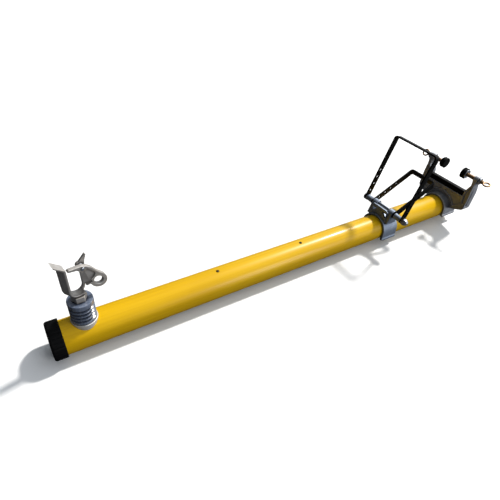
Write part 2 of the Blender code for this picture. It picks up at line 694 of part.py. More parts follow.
def build_bail_bolt(bolt_at):
    """The bolt through both bails, with its spacers, washers and dome nut."""
    outer = LARGE_BAIL_Y + BAIL_STRAP
    seat = outer + 2 * GAP + BAIL_WASHER
    profile = [
        (0, seat + 0.0050), (0.0050, seat + 0.0046), (0.0090, seat + 0.0022), (0.0094, seat + GAP),
        (BAIL_BOLT_R, seat + GAP), (BAIL_BOLT_R, -seat - 0.0080), (0, -seat - 0.0080),
    ]
    finish(turned("bail_bolt", profile, bolt_at), ZINC)
    bore = BAIL_BOLT_R + 0.0003
    near = along_y(BAIL_BOLT_X, 0, BAIL_BOLT_Z, -1)
    nut = slab("dome_nut", [hexagon(DOME_NUT_ACROSS)], near, 0.0075, seat + GAP, 0.0004)
    dome = [
        (0, 0.0160), (0.0035, 0.0154), (0.0062, 0.0135), (0.0078, 0.0105), (0.0080, 0.0050), (0, 0.0050),
    ]
    dome = [(radius, height + seat) for radius, height in dome]
    join(nut, turned("nut_dome", dome, near, tool=True))
    cut(nut, rod("nut_bore", bore, seat - 0.001, seat + 0.0090, near, COARSE, tool=True))
    finish(nut, ZINC)
    for tag, side in (("near", -1), ("far", 1)):
        at = along_y(BAIL_BOLT_X, 0, BAIL_BOLT_Z, side)
        low = outer + GAP
        finish(tube(f"bail_washer_{tag}", 0.0098, bore, low, low + BAIL_WASHER, at), ZINC)
        start = SMALL_BAIL_Y + BAIL_STRAP + GAP
        finish(tube(f"bail_spacer_{tag}", 0.0094, bore, start, LARGE_BAIL_Y - GAP, at), CASTING)


# ---------------------------------------------------------------- bails
def bail(name, inner_y, length, lean):
    """A flat strap bent to a U, hung on the bail bolt and leaning toward +X."""
    outer_y = inner_y + BAIL_STRAP
    end = BAIL_WIDTH / 2
    bend = 0.009
    top = length + BAIL_STRAP / 2
    under = length - BAIL_STRAP / 2
    half = [(inner_y, -end), (outer_y, -end)] + arc((outer_y - bend, top - bend), bend, 0, 90, 5)
    inside = arc((outer_y - bend, top - bend), bend - BAIL_STRAP, 90, 0, 5)
    inside = [(x, min(z, under)) for x, z in inside]
    outline = half + [(-x, z) for x, z in reversed(half)]
    outline += [(-x, z) for x, z in reversed(inside)] + inside
    hinge = Matrix.Translation((BAIL_BOLT_X, 0, BAIL_BOLT_Z)) @ Matrix.Rotation(lean, 4, "Y")
    made = slab(name, [outline], hinge @ along_x(), BAIL_WIDTH, -BAIL_WIDTH / 2, 0.0004)
    reach = outer_y + 0.01
    flat = hinge @ axes((0, reach, 0), (1, 0, 0), (0, 0, 1))
    side, low = end + 0.003, -end - 0.004
    scrap = [(side, 0.0), (side, low), (-side, low), (-side, 0.0)]
    corner = scrap + arc((0, 0), end, 180, 360, 10)
    cut(made, slab(f"{name}_ends", [corner], flat, 2 * reach, 0, tool=True))
    along = hinge @ along_y()
    cut(made, rod(f"{name}_bore", BAIL_BOLT_R + 0.0004, -reach, reach, along, COARSE, tool=True))
    for number in range(1, BAIL_HOLES + 1):
        at = hinge @ along_y(0, 0, number * BAIL_HOLE_PITCH)
        cut(made, rod(f"{name}_hole_{number}", BAIL_HOLE_R, -reach, reach, at, 12, tool=True))
    finish(made, BLACK_STEEL)
    hang(pivot_empty(f"{name}_hinge", hinge), made)


# ---------------------------------------------------------------- crossarm bracket
def bracket_half():
    """Half of the bracket's plate in (y, z), from the arch outward, up the arm and back to y = 0."""
    arch = arc((0, 0), 0.042, 90, 16, 12)
    lower = [(0.0620, 0.0185), (0.0845, 0.0285), (0.0885, 0.0320), (0.0905, 0.0370)]
    arm = [(0.0905, 0.0860), (0.0885, 0.1180), (0.0905, 0.1340), (0.0775, 0.1340), (0.0790, 0.1170)]
    return arch + lower + arm + [(0.0700, 0.0960), (0.0690, 0.0900), (0.0690, 0.0740), (0.0, 0.0740)]


def web_panel(inner_r):
    """The panel between the arch, the seat and one arm."""
    outer = [(0.0705, 0.0425), (0.0720, 0.0465), (0.0650, 0.0690), (0.0085, 0.0690)]
    return arc((0, 0), inner_r, 84, 28, 8) + outer


def arm_panel():
    """The long hollow in one arm."""
    outer = [(0.0775, 0.0500), (0.0855, 0.0500), (0.0860, 0.0850), (0.0850, 0.1100)]
    return outer + [(0.0820, 0.1100), (0.0750, 0.0930), (0.0735, 0.0800)]


def flipped(outline, side):
    """The outline for y > 0 (side 1) or its mirror (side -1)."""
    return outline if side == 1 else [(-x, z) for x, z in reversed(outline)]


def build_bracket():
    """The cast crossarm bracket with its sleeve, hollowed plate, arms and screw bosses."""
    length = BRACKET_SLEEVE_X[1] - BRACKET_SLEEVE_X[0]
    bracket = slab("crossarm_bracket", [saddle_outline(BRACKET_LEG_Z, SADDLE_WALL)], along_x(),
                   length, BRACKET_SLEEVE_X[0], 0.0008)
    half = bracket_half()
    outline = half + [(-x, z) for x, z in reversed(half) if x > 0.00001]
    plate_at = along_x(BRACKET_FRONT_X)
    plate = slab("bracket_plate", [outline], plate_at, BRACKET_DEPTH, 0, 0.0008, tool=True)
    join(bracket, plate)
    front_from, rear_from = BRACKET_FRONT_RECESS - 0.01, BRACKET_FRONT_RECESS + BRACKET_WEB
    for side in (1, -1):
        tag = "far" if side == 1 else "near"
        front = rounded(flipped(web_panel(0.0595), side), 0.003, 2)
        cut(bracket, slab(f"front_panel_{tag}", [front], plate_at, 0.01, front_from, tool=True))
        rear = rounded(flipped(web_panel(0.0485), side), 0.003, 2)
        cut(bracket, slab(f"rear_panel_{tag}", [rear], plate_at, 0.05, rear_from, tool=True))
        hollow = rounded(flipped(arm_panel(), side), 0.003, 2)
        cut(bracket, slab(f"front_groove_{tag}", [hollow], plate_at, 0.01, front_from, tool=True))
        cut(bracket, slab(f"rear_groove_{tag}", [hollow], plate_at, 0.05, rear_from, tool=True))
    ring = arc((0, 0), 0.0565, 156, 24, 18) + arc((0, 0), 0.0462, 24, 156, 18)
    cut(bracket, slab("front_ring", [ring], plate_at, 0.01, front_from, tool=True))
    middle = [(-0.0095, 0.0482), (0.0095, 0.0482), (0.0095, 0.0685), (-0.0095, 0.0685)]
    cut(bracket, slab("rear_middle", [middle], plate_at, 0.05, rear_from, tool=True))
    for side in (1, -1):
        tag = "far" if side == 1 else "near"
        ys = sorted((side * 0.0880, side * 0.1000))
        low = (BRACKET_FRONT_X + 0.0025, ys[0], 0.0420)
        high = (BRACKET_FRONT_X + 0.0125, ys[1], 0.1130)
        cut(bracket, box(f"side_channel_{tag}", low, high, along_z(), tool=True))
    slope_x = SCREW_X + SCREW_BOSS_R + 0.0006
    rear_x, clear_x = BRACKET_FRONT_X + BRACKET_DEPTH + 0.0005, POLE_END_X + 0.008
    slope = [(slope_x, 0.132), (rear_x, 0.093), (clear_x, 0.093), (clear_x, 0.16), (slope_x, 0.16)]
    slope_at = axes((0, 0.12, 0), (1, 0, 0), (0, 0, 1))
    cut(bracket, slab("arm_slope", [slope], slope_at, 0.24, 0, tool=True))
    for side in (1, -1):
        tag = "far" if side == 1 else "near"
        at = along_y(SCREW_X, 0, SCREW_Z, side)
        join(bracket, rod(f"screw_boss_{tag}", SCREW_BOSS_R, *SCREW_BOSS_Y, at, tool=True, chamfer=0.001))
        bore_r = SCREW_R + 0.0004
        cut(bracket, rod(f"screw_bore_{tag}", bore_r, 0.06, 0.11, at, COARSE, tool=True))
    for number, x in enumerate(bracket_screw_xs()):
        hole = rod(f"bracket_screw_hole_{number}", RIVET_HOLE_R, 0.03, 0.055, along_z(x), COARSE, tool=True)
        cut(bracket, hole)
    finish(bracket, CASTING)
    for tag, x, head_z in zip(("front", "rear"), bracket_screw_xs(), (0.0482, SADDLE_R + SADDLE_WALL)):
        finish(rivet(f"bracket_screw_{tag}", x, head_z + GAP, 0.0050, 0.0026), ZINC)
    build_seat_pad()


def build_seat_pad():
    """The rubber block that the crossarm rests on."""
    edge = 0.002
    front = BRACKET_FRONT_X + edge
    pad = box("seat_pad", (front, -SEAT_PAD_HALF, SEAT_PAD_Z[0]),
              (front + SEAT_PAD_DEPTH, SEAT_PAD_HALF, SEAT_PAD_Z[1]), along_z())
    soften = pad.modifiers.new("soften", "BEVEL")
    soften.width = 0.0016
    soften.segments = 2
    finish(pad, RUBBER)


def build_clamp(side, roll):
    """One screw clamp: eye screw, swivel pad, steel cup and lock nut."""
    tag = "far" if side == 1 else "near"
    at = along_y(SCREW_X, 0, SCREW_Z, side)
    socket_r, socket_floor = SCREW_R + 0.0003, PAD_Y[0] + 0.005
    tip = socket_floor + GAP
    screw = rod(f"eye_screw_{tag}", SCREW_R, tip, EYE_CENTRE_Y - EYE_MAJOR_R, at, chamfer=0.0006)
    ring = [(EYE_MAJOR_R + EYE_MINOR_R * x, EYE_MINOR_R * y) for x, y in circle((0, 0), 1, 8)]
    ring_at = at @ axes((0, 0, EYE_CENTRE_Y), (0, 0, 1), (math.cos(roll), math.sin(roll), 0))
    join(screw, turned(f"eye_ring_{tag}", ring, ring_at, 24, ring=True, tool=True))
    finish(screw, BRONZE)
    low, high = PAD_Y
    rim, waist = PAD_R, PAD_R - 0.0022
    edge, flange = 0.0014, 0.0042
    profile = [
        (0, socket_floor), (socket_r, socket_floor), (socket_r, high), (rim - edge, high), (rim, high - edge),
        (rim, high - flange), (waist, high - flange - 0.0012), (waist, low + flange + 0.0012),
        (rim, low + flange), (rim, low + edge), (rim - edge, low), (0, low),
    ]
    pad = finish(turned(f"swivel_pad_{tag}", profile, at, MEDIUM), RUBBER)
    base = high + GAP
    cup = [
        (0.0140, base + 0.0026), (0.0144, base + 0.0012), (0.0120, base), (socket_r, base),
        (socket_r, base + 0.0016), (0.0112, base + 0.0016),
    ]
    cup = finish(turned(f"pad_cup_{tag}", cup, at, MEDIUM, ring=True), ZINC)
    start = SCREW_BOSS_Y[1] + GAP
    nut = slab(f"lock_nut_{tag}", [hexagon(LOCK_NUT_ACROSS), circle((0, 0), socket_r, COARSE)], at,
               0.006, start, 0.0004)
    finish(nut, ZINC)
    hinge = pivot_empty(f"clamp_axis_{tag}", at)
    hang(hinge, screw, pad, cup)


build_pole()
build_cap()
build_insulator()
fork_axis = pivot_empty("fork_axis", along_z(INSULATOR_X, 0, HEX_BOSS_TOP_Z))
keeper_axis = pivot_empty("keeper_axis", on_fork(KEEPER_PIVOT[0], 0, KEEPER_PIVOT[1]))
fork_part = build_fork()
keeper_part, pin_part, spring_part = build_keeper()
hang(keeper_axis, keeper_part)
hang(fork_axis, fork_part, pin_part, spring_part, keeper_axis)
build_collar()
bail("large_bail", LARGE_BAIL_Y, LARGE_BAIL_LENGTH, LARGE_BAIL_LEAN)
bail("small_bail", SMALL_BAIL_Y, SMALL_BAIL_LENGTH, SMALL_BAIL_LEAN)
build_bracket()
build_clamp(1, FAR_EYE_ROLL)
build_clamp(-1, NEAR_EYE_ROLL)
bpy.context.view_layer.update()
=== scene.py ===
# The looks of the insulated conductor support arm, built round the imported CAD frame.
# Everything is in metres in the CAD's own frame: +X along the pole toward the crossarm bracket, +Z up.
# Places and outer sizes come from the frame's boxes and joints.
import json
import math

import bmesh
import bpy
from mathutils import Matrix, Vector


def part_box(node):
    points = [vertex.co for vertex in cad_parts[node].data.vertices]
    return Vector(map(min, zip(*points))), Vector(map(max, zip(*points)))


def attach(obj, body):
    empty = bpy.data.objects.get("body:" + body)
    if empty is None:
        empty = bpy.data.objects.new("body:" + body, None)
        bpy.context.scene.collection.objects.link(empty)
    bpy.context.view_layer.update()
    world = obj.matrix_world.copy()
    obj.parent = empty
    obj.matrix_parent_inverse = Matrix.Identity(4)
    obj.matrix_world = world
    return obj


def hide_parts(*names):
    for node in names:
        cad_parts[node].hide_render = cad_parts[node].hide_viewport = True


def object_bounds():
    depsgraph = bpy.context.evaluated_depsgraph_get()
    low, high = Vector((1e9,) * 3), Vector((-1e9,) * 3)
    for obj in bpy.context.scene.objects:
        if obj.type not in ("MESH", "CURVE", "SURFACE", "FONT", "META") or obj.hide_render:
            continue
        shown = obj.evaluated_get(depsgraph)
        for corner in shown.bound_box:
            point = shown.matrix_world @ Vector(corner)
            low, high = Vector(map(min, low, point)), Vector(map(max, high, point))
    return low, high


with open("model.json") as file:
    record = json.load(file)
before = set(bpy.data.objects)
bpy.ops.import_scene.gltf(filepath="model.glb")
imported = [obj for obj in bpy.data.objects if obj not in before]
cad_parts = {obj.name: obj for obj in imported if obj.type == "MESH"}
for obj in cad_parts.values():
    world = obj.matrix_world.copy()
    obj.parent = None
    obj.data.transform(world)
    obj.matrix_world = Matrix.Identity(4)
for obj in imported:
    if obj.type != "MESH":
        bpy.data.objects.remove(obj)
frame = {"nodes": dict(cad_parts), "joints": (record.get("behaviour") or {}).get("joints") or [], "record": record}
CAD_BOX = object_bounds()
RECORD = frame["record"]
BODY = {node: body for body, nodes in RECORD["behaviour"]["bodies"].items() for node in nodes}
JOINT = {joint["name"]: joint for joint in frame["joints"]}

MM = 0.001
TINY = 0.001 * MM
FINE, MEDIUM = 96, 48             # segments round large and small turned pieces


# ---------------------------------------------------------------- reading the frame
def middle(node):
    """The centre of a node's box."""
    low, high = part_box(node)
    return (low + high) / 2


def half(node, axis):
    """Half a node's size along an axis, 0 to 2."""
    low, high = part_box(node)
    return (high[axis] - low[axis]) / 2


def axes(origin, x_axis, y_axis):
    """A transform whose local X and Y run along the two given directions."""
    x_axis = Vector(x_axis).normalized()
    y_axis = Vector(y_axis).normalized()
    turn = Matrix((x_axis, y_axis, x_axis.cross(y_axis))).transposed().to_4x4()
    return Matrix.Translation(Vector(origin)) @ turn


def along_x():
    """Local Z runs along world X; local X along world Y; local Y along world Z."""
    return axes((0, 0, 0), (0, 1, 0), (0, 0, 1))


def along_y(x=0.0, y=0.0, z=0.0, side=1):
    """Local Z runs along world Y (side 1) or against it (side -1)."""
    return axes((x, y, z), (side, 0, 0), (0, 0, -1))


def along_z(x=0.0, y=0.0, z=0.0):
    """Local axes parallel to the world's."""
    return Matrix.Translation((x, y, z))


# ---------------------------------------------------------------- mesh building
def add(name, data):
    """A new object in the scene for a mesh, curve, light or camera."""
    made = bpy.data.objects.new(name, data)
    bpy.context.scene.collection.objects.link(made)
    return made


def smooth(made, angle=32.0):
    """Smooth shading with creases above an angle."""
    made.data.polygons.foreach_set("use_smooth", [True] * len(made.data.polygons))
    made.data.set_sharp_from_angle(angle=math.radians(angle))
    return made


def arc(centre, radius, start, end, count):
    """Points round an arc, angles in degrees."""
    spots = []
    for i in range(count + 1):
        angle = math.radians(start + (end - start) * i / count)
        spots.append((centre[0] + radius * math.cos(angle), centre[1] + radius * math.sin(angle)))
    return spots


def circle(centre, radius, count=MEDIUM):
    """A closed circle of points."""
    return arc(centre, radius, 0, 360, count)[:-1]


def softened(points, radius, count=4, closed=False):
    """An outline or profile with its corners rounded by quadratic curves."""
    spots = []
    total = len(points)
    for i, corner in enumerate(points):
        here = Vector(corner)
        if not closed and i in (0, total - 1):
            spots.append(here)
            continue
        before = Vector(points[i - 1]) - here
        after = Vector(points[(i + 1) % total]) - here
        reach = min(radius, before.length * 0.48, after.length * 0.48)
        first = here + before.normalized() * reach
        last = here + after.normalized() * reach
        for k in range(count + 1):
            t = k / count
            spots.append((1 - t) ** 2 * first + 2 * t * (1 - t) * here + t * t * last)
    return [(spot.x, spot.y) for spot in spots]


def lathe(name, profile, matrix, segments=MEDIUM, ring=False, shape=None):
    """A turned mesh from (radius, height) points that run down the outside.

    shape(row, angle, radius, height) may move a point, which makes ribs, threads and notches.
    """
    verts, rows, faces = [], [], []
    for row, (radius, height) in enumerate(profile):
        if radius < TINY:
            rows.append([len(verts)] * segments)
            verts.append((0.0, 0.0, height))
            continue
        rows.append(list(range(len(verts), len(verts) + segments)))
        for i in range(segments):
            angle = 2 * math.pi * i / segments
            r, z = shape(row, angle, radius, height) if shape else (radius, height)
            verts.append((r * math.cos(angle), r * math.sin(angle), z))
    pairs = list(zip(rows, rows[1:]))
    if ring:
        pairs.append((rows[-1], rows[0]))
    for upper, lower in pairs:
        for i in range(segments):
            k = (i + 1) % segments
            corners = dict.fromkeys((upper[i], lower[i], lower[k], upper[k]))
            if len(corners) > 2:
                faces.append(list(corners))
    mesh = bpy.data.meshes.new(name)
    mesh.from_pydata(verts, [], faces)
    mesh.transform(matrix)
    mesh.update()
    return smooth(add(name, mesh))


def slab(name, outline, matrix, depth, start=0.0, edge=0.0):
    """A flat outline given thickness, from local z = start to start + depth, with edges rounded by edge."""
    curve = bpy.data.curves.new(name, "CURVE")
    curve.dimensions = "2D"
    curve.fill_mode = "BOTH"
    curve.extrude = depth / 2 - edge
    curve.bevel_depth = edge
    curve.bevel_resolution = 2
    curve.offset = -edge
    spline = curve.splines.new("POLY")
    spline.points.add(len(outline) - 1)
    for point, (x, y) in zip(spline.points, outline):
        point.co = (x, y, 0.0, 1.0)
    spline.use_cyclic_u = True
    drawn = add(name + "_outline", curve)
    bpy.context.view_layer.update()
    seen = drawn.evaluated_get(bpy.context.evaluated_depsgraph_get())
    mesh = bpy.data.meshes.new_from_object(seen)
    bpy.data.objects.remove(drawn, do_unlink=True)
    work = bmesh.new()
    work.from_mesh(mesh)
    bmesh.ops.remove_doubles(work, verts=work.verts, dist=TINY)
    bmesh.ops.recalc_face_normals(work, faces=work.faces)
    work.to_mesh(mesh)
    work.free()
    mesh.transform(matrix @ Matrix.Translation((0, 0, start + depth / 2)))
    return smooth(add(name, mesh))


def settle(made, *tools):
    """Applies an object's modifiers and removes the objects they used."""
    bpy.context.view_layer.update()
    seen = made.evaluated_get(bpy.context.evaluated_depsgraph_get())
    mesh = bpy.data.meshes.new_from_object(seen)
    made.modifiers.clear()
    made.data = mesh
    for tool in tools:
        bpy.data.objects.remove(tool, do_unlink=True)
    return made


def combine(made, operation, *tools):
    """Joins, cuts or intersects an object with others."""
    for tool in tools:
        step = made.modifiers.new(operation.lower(), "BOOLEAN")
        step.operation = operation
        step.solver = "EXACT"
        step.object = tool
    return settle(made, *tools)


def cast(name, node, voxel, rounds, keep, joined=()):
    """A casting: the CAD solid remeshed finely and relaxed, so that every edge and corner is filleted.

    rounds is how many times the grid is smoothed, and keep the share of its faces that stays.
    """
    made = add(name, frame["nodes"][node].data.copy())
    if joined:
        combine(made, "UNION", *joined)
    grid = made.modifiers.new("grid", "REMESH")
    grid.mode = "VOXEL"
    grid.voxel_size = voxel
    relax = made.modifiers.new("relax", "SMOOTH")
    relax.factor = 0.5
    relax.iterations = rounds
    thin = made.modifiers.new("thin", "DECIMATE")
    thin.ratio = keep
    return smooth(settle(made), 60.0)


# ---------------------------------------------------------------- materials
class Look:
    """A Principled material and short calls for the nodes that vary it."""

    def __init__(self, name, metallic=0.0):
        self.material = bpy.data.materials.new(name)
        self.material.use_nodes = True
        self.tree = self.material.node_tree
        self.shader = self.tree.nodes["Principled BSDF"]
        self.place = self.node("ShaderNodeTexCoord").outputs["Object"]
        self.set("Metallic", metallic)

    def node(self, kind, **settings):
        """A new node with some of its settings."""
        made = self.tree.nodes.new(kind)
        for key, value in settings.items():
            setattr(made, key, value)
        return made

    def feed(self, socket, value):
        """Links a socket to another, or sets its value."""
        if isinstance(value, bpy.types.NodeSocket):
            self.tree.links.new(value, socket)
        elif isinstance(value, tuple) and len(value) == 3 and socket.type == "RGBA":
            socket.default_value = (*value, 1.0)
        else:
            socket.default_value = value

    def set(self, name, value):
        """Feeds one of the Principled shader's inputs."""
        self.feed(self.shader.inputs[name], value)

    def stretched(self, stretch):
        """The object's coordinates scaled along each axis."""
        mapping = self.node("ShaderNodeMapping")
        self.feed(mapping.inputs["Vector"], self.place)
        mapping.inputs["Scale"].default_value = stretch
        return mapping.outputs["Vector"]

    def noise(self, scale, detail=4.0, stretch=(1, 1, 1), rough=0.5):
        """Noise of a given scale, as a 0 to 1 factor."""
        made = self.node("ShaderNodeTexNoise")
        self.feed(made.inputs["Vector"], self.stretched(stretch))
        made.inputs["Scale"].default_value = scale
        made.inputs["Detail"].default_value = detail
        made.inputs["Roughness"].default_value = rough
        return made.outputs["Fac"]

    def cells(self, scale):
        """Distance to the nearest of a field of scattered points."""
        made = self.node("ShaderNodeTexVoronoi")
        self.feed(made.inputs["Vector"], self.place)
        made.inputs["Scale"].default_value = scale
        return made.outputs["Distance"]

    def span(self, value, low, high, to_low=0.0, to_high=1.0):
        """A value between low and high, mapped to another range and clamped."""
        made = self.node("ShaderNodeMapRange")
        self.feed(made.inputs["Value"], value)
        for key, number in (("From Min", low), ("From Max", high), ("To Min", to_low), ("To Max", to_high)):
            made.inputs[key].default_value = number
        return made.outputs["Result"]

    def mix(self, factor, first, second):
        """A blend of two colours."""
        made = self.node("ShaderNodeMix", data_type="RGBA")
        self.feed(made.inputs[0], factor)
        self.feed(made.inputs[6], first)
        self.feed(made.inputs[7], second)
        return made.outputs[2]

    def times(self, first, second):
        """A product of two values."""
        made = self.node("ShaderNodeMath", operation="MULTIPLY")
        self.feed(made.inputs[0], first)
        self.feed(made.inputs[1], second)
        return made.outputs[0]

    def edges(self, low, high):
        """1 on the convex edges of a dense mesh, 0 elsewhere."""
        return self.span(self.node("ShaderNodeNewGeometry").outputs["Pointiness"], low, high)

    def painted_shade(self, distance, low=0.55, high=0.95):
        """1 where ambient shade falls, in corners and grooves, 0 in the open: the mask for painted shade."""
        made = self.node("ShaderNodeAmbientOcclusion", samples=4)
        made.inputs["Distance"].default_value = distance
        return self.span(made.outputs["AO"], low, high, 1.0, 0.0)

    def bump(self, height, distance, strength=1.0, under=None):
        """A bumped normal."""
        made = self.node("ShaderNodeBump")
        self.feed(made.inputs["Height"], height)
        made.inputs["Distance"].default_value = distance
        made.inputs["Strength"].default_value = strength
        if under:
            self.feed(made.inputs["Normal"], under)
        return made.outputs["Normal"]


def gelcoat():
    """Glossy yellow gel-coat: long faint fibre streaks, cloudy tone, fine scuffs and handling marks."""
    look = Look("yellow_gelcoat_look")
    streaks = look.noise(170.0, 5.0, (0.02, 1, 1))
    clouds = look.noise(9.0, 3.0, (0.5, 1, 1))
    tone = look.mix(look.span(streaks, 0.35, 0.68), (0.63, 0.365, 0.001), (0.71, 0.430, 0.002))
    tone = look.mix(look.span(clouds, 0.42, 0.70, 0.0, 0.30), tone, (0.53, 0.29, 0.001))
    scuffs = look.span(look.noise(260.0, 6.0, (0.10, 1, 1), 0.7), 0.66, 0.72)
    patches = look.span(look.noise(14.0, 2.0), 0.50, 0.66)
    marks = look.times(scuffs, patches)
    look.set("Base Color", look.mix(look.times(marks, 0.45), tone, (0.42, 0.29, 0.05)))
    look.set("Roughness", look.span(marks, 0.0, 1.0, 0.36, 0.60))
    look.set("Specular IOR Level", 0.22)
    look.set("Coat Weight", look.span(clouds, 0.3, 0.7, 0.14, 0.06))
    look.set("Coat Roughness", 0.12)
    fine = look.bump(streaks, 0.00006, 0.5)
    look.set("Normal", look.bump(marks, 0.00005, 0.4, fine))
    return look.material


def rubber(name, grain=1.0):
    """Moulded black rubber: fine grain, and faint dust that shifts its shade and sheen."""
    look = Look(name)
    grains = look.noise(1500.0 * grain, 3.0)
    dust = look.noise(60.0, 5.0, rough=0.65)
    dusty = look.span(dust, 0.48, 0.78, 0.0, 0.6)
    base = look.mix(dusty, (0.0014, 0.0014, 0.0017), (0.0060, 0.0058, 0.0056))
    # Painted shade: the rubber darkens in its occluded corners and grooves.
    look.set("Base Color", look.mix(look.painted_shade(0.003), base, (0.0012, 0.0012, 0.0014)))
    look.set("Roughness", look.span(dust, 0.35, 0.70, 0.50, 0.80))
    look.set("Specular IOR Level", 0.09)
    broad = look.bump(dust, 0.00012, 0.5)
    look.set("Normal", look.bump(grains, 0.00008, 0.6, broad))
    return look.material


def glaze():
    """Glossy blue-grey insulator: even body colour, painted shade darkening the grooves, faint runs down it."""
    look = Look("insulator_glaze_look")
    cloud = look.noise(70.0, 4.0)
    runs = look.noise(220.0, 4.0, (1, 1, 0.12))
    tone = look.mix(look.span(cloud, 0.35, 0.65), (0.085, 0.108, 0.160), (0.135, 0.160, 0.220))
    tone = look.mix(look.span(runs, 0.55, 0.75, 0.0, 0.35), tone, (0.34, 0.36, 0.40))
    # Painted shade: the grooves darken almost to black where they are occluded.
    look.set("Base Color", look.mix(look.painted_shade(0.009, 0.45, 0.90), tone, (0.005, 0.007, 0.016)))
    look.set("Roughness", look.span(runs, 0.35, 0.70, 0.16, 0.38))
    look.set("Coat Weight", 0.35)
    look.set("Coat Roughness", 0.08)
    look.set("Normal", look.bump(cloud, 0.0002, 0.35))
    return look.material


def casting(part, shade, tint, corner_shade):
    """As-cast aluminium: sandy grain, cloudy oxide, worn bright edges and painted shade in the corners."""
    look = Look(f"{part}_casting_look", 0.55)
    sand = look.noise(1100.0, 3.0)
    cloud = look.noise(45.0, 5.0, rough=0.6)
    oxide = look.noise(190.0, 4.0)
    tone = look.mix(look.span(cloud, 0.34, 0.66), shade, tint)
    tone = look.mix(look.span(oxide, 0.56, 0.76, 0.0, 0.4), tone, tuple(value * 0.62 for value in shade))
    # Painted shade: occluded corners blend towards the dark corner colour.
    tone = look.mix(look.times(look.painted_shade(0.006), 0.8), tone, corner_shade)
    worn = look.times(look.edges(0.515, 0.56), look.span(oxide, 0.35, 0.6))
    look.set("Base Color", look.mix(worn, tone, tuple(min(1.0, value * 1.7) for value in tint)))
    look.set("Roughness", look.span(worn, 0.0, 1.0, 0.52, 0.30))
    rolled = look.bump(cloud, 0.0005, 0.30)
    look.set("Normal", look.bump(sand, 0.00012, 0.55, rolled))
    return look.material


def zinc(name, shade=(0.50, 0.53, 0.58), rough=0.32):
    """Zinc-plated steel: bluish plating with cloudy passivation, fine machining marks and painted shade in its
    hollows.
    """
    look = Look(name, 0.9)
    cloud = look.noise(160.0, 4.0)
    marks = look.noise(900.0, 2.0, (0.15, 0.15, 1))
    dull = tuple(value * 0.68 for value in shade)
    tone = look.mix(look.span(cloud, 0.38, 0.70), shade, dull)
    look.set("Base Color", look.mix(look.painted_shade(0.002), tone, (0.05, 0.05, 0.055)))
    look.set("Roughness", look.span(cloud, 0.3, 0.7, rough - 0.06, rough + 0.14))
    look.set("Normal", look.bump(marks, 0.00004, 0.5))
    return look.material


def black_paint():
    """Black painted strap: slight orange peel, with rubbed brown patches a little below the paint."""
    look = Look("black_strap_look")
    peel = look.noise(850.0, 2.0)
    cloud = look.noise(38.0, 5.0, rough=0.62)
    rub = look.noise(240.0, 5.0, rough=0.7)
    patches = look.times(look.span(rub, 0.54, 0.66), look.span(cloud, 0.50, 0.64))
    tone = look.mix(look.span(cloud, 0.40, 0.70), (0.0009, 0.0008, 0.0009), (0.0036, 0.0031, 0.0028))
    tone = look.mix(look.times(patches, 0.85), tone, (0.050, 0.030, 0.014))
    look.set("Base Color", tone)
    look.set("Metallic", look.times(patches, 0.4))
    look.set("Roughness", look.span(cloud, 0.35, 0.68, 0.34, 0.52))
    look.set("Specular IOR Level", 0.08)
    chipped = look.bump(patches, -0.00008, 0.6)
    look.set("Normal", look.bump(peel, 0.00006, 0.45, chipped))
    return look.material


def bronze():
    """Dull brown bronze thread: cloudy tone, with painted shade darkening the roots against the crests."""
    look = Look("bronze_screw_look", 0.85)
    cloud = look.noise(140.0, 4.0)
    grit = look.noise(1300.0, 3.0)
    tone = look.mix(look.span(cloud, 0.36, 0.68), (0.36, 0.225, 0.120), (0.245, 0.145, 0.075))
    tone = look.mix(look.painted_shade(0.0015, 0.50, 0.92), tone, (0.045, 0.028, 0.016))
    look.set("Base Color", tone)
    look.set("Roughness", look.span(cloud, 0.3, 0.7, 0.34, 0.52))
    look.set("Normal", look.bump(grit, 0.00005, 0.4))
    return look.material


def foam():
    """Rigid pale foam with open cells."""
    look = Look("pale_foam_look")
    cells = look.cells(900.0)
    cloud = look.noise(50.0)
    look.set("Base Color", look.mix(look.span(cloud, 0.35, 0.7), (0.70, 0.60, 0.36), (0.60, 0.49, 0.27)))
    look.set("Roughness", 0.95)
    look.set("Normal", look.bump(cells, 0.0005, 0.8))
    return look.material


def grey_plastic():
    """Moulded grey plug: satin with faint flow marks."""
    look = Look("grey_plug_look")
    flow = look.noise(60.0, 4.0, (1, 0.3, 1))
    grain = look.noise(1200.0, 2.0)
    look.set("Base Color", look.mix(look.span(flow, 0.35, 0.7), (0.085, 0.085, 0.09), (0.13, 0.13, 0.13)))
    look.set("Roughness", look.span(flow, 0.3, 0.7, 0.45, 0.62))
    look.set("Normal", look.bump(grain, 0.00006, 0.5))
    return look.material


def pale_floor():
    """A plain pale studio floor with the faintest tooth, which throws little light back up."""
    look = Look("studio_floor_look")
    tooth = look.noise(35.0, 3.0)
    seen = look.node("ShaderNodeLightPath").outputs["Is Camera Ray"]
    pale = look.mix(look.span(tooth, 0.3, 0.7), (0.86, 0.865, 0.87), (0.875, 0.875, 0.88))
    look.set("Base Color", look.mix(seen, (0.045, 0.048, 0.055), pale))
    look.set("Roughness", 0.6)
    look.set("Specular IOR Level", 0.2)
    return look.material


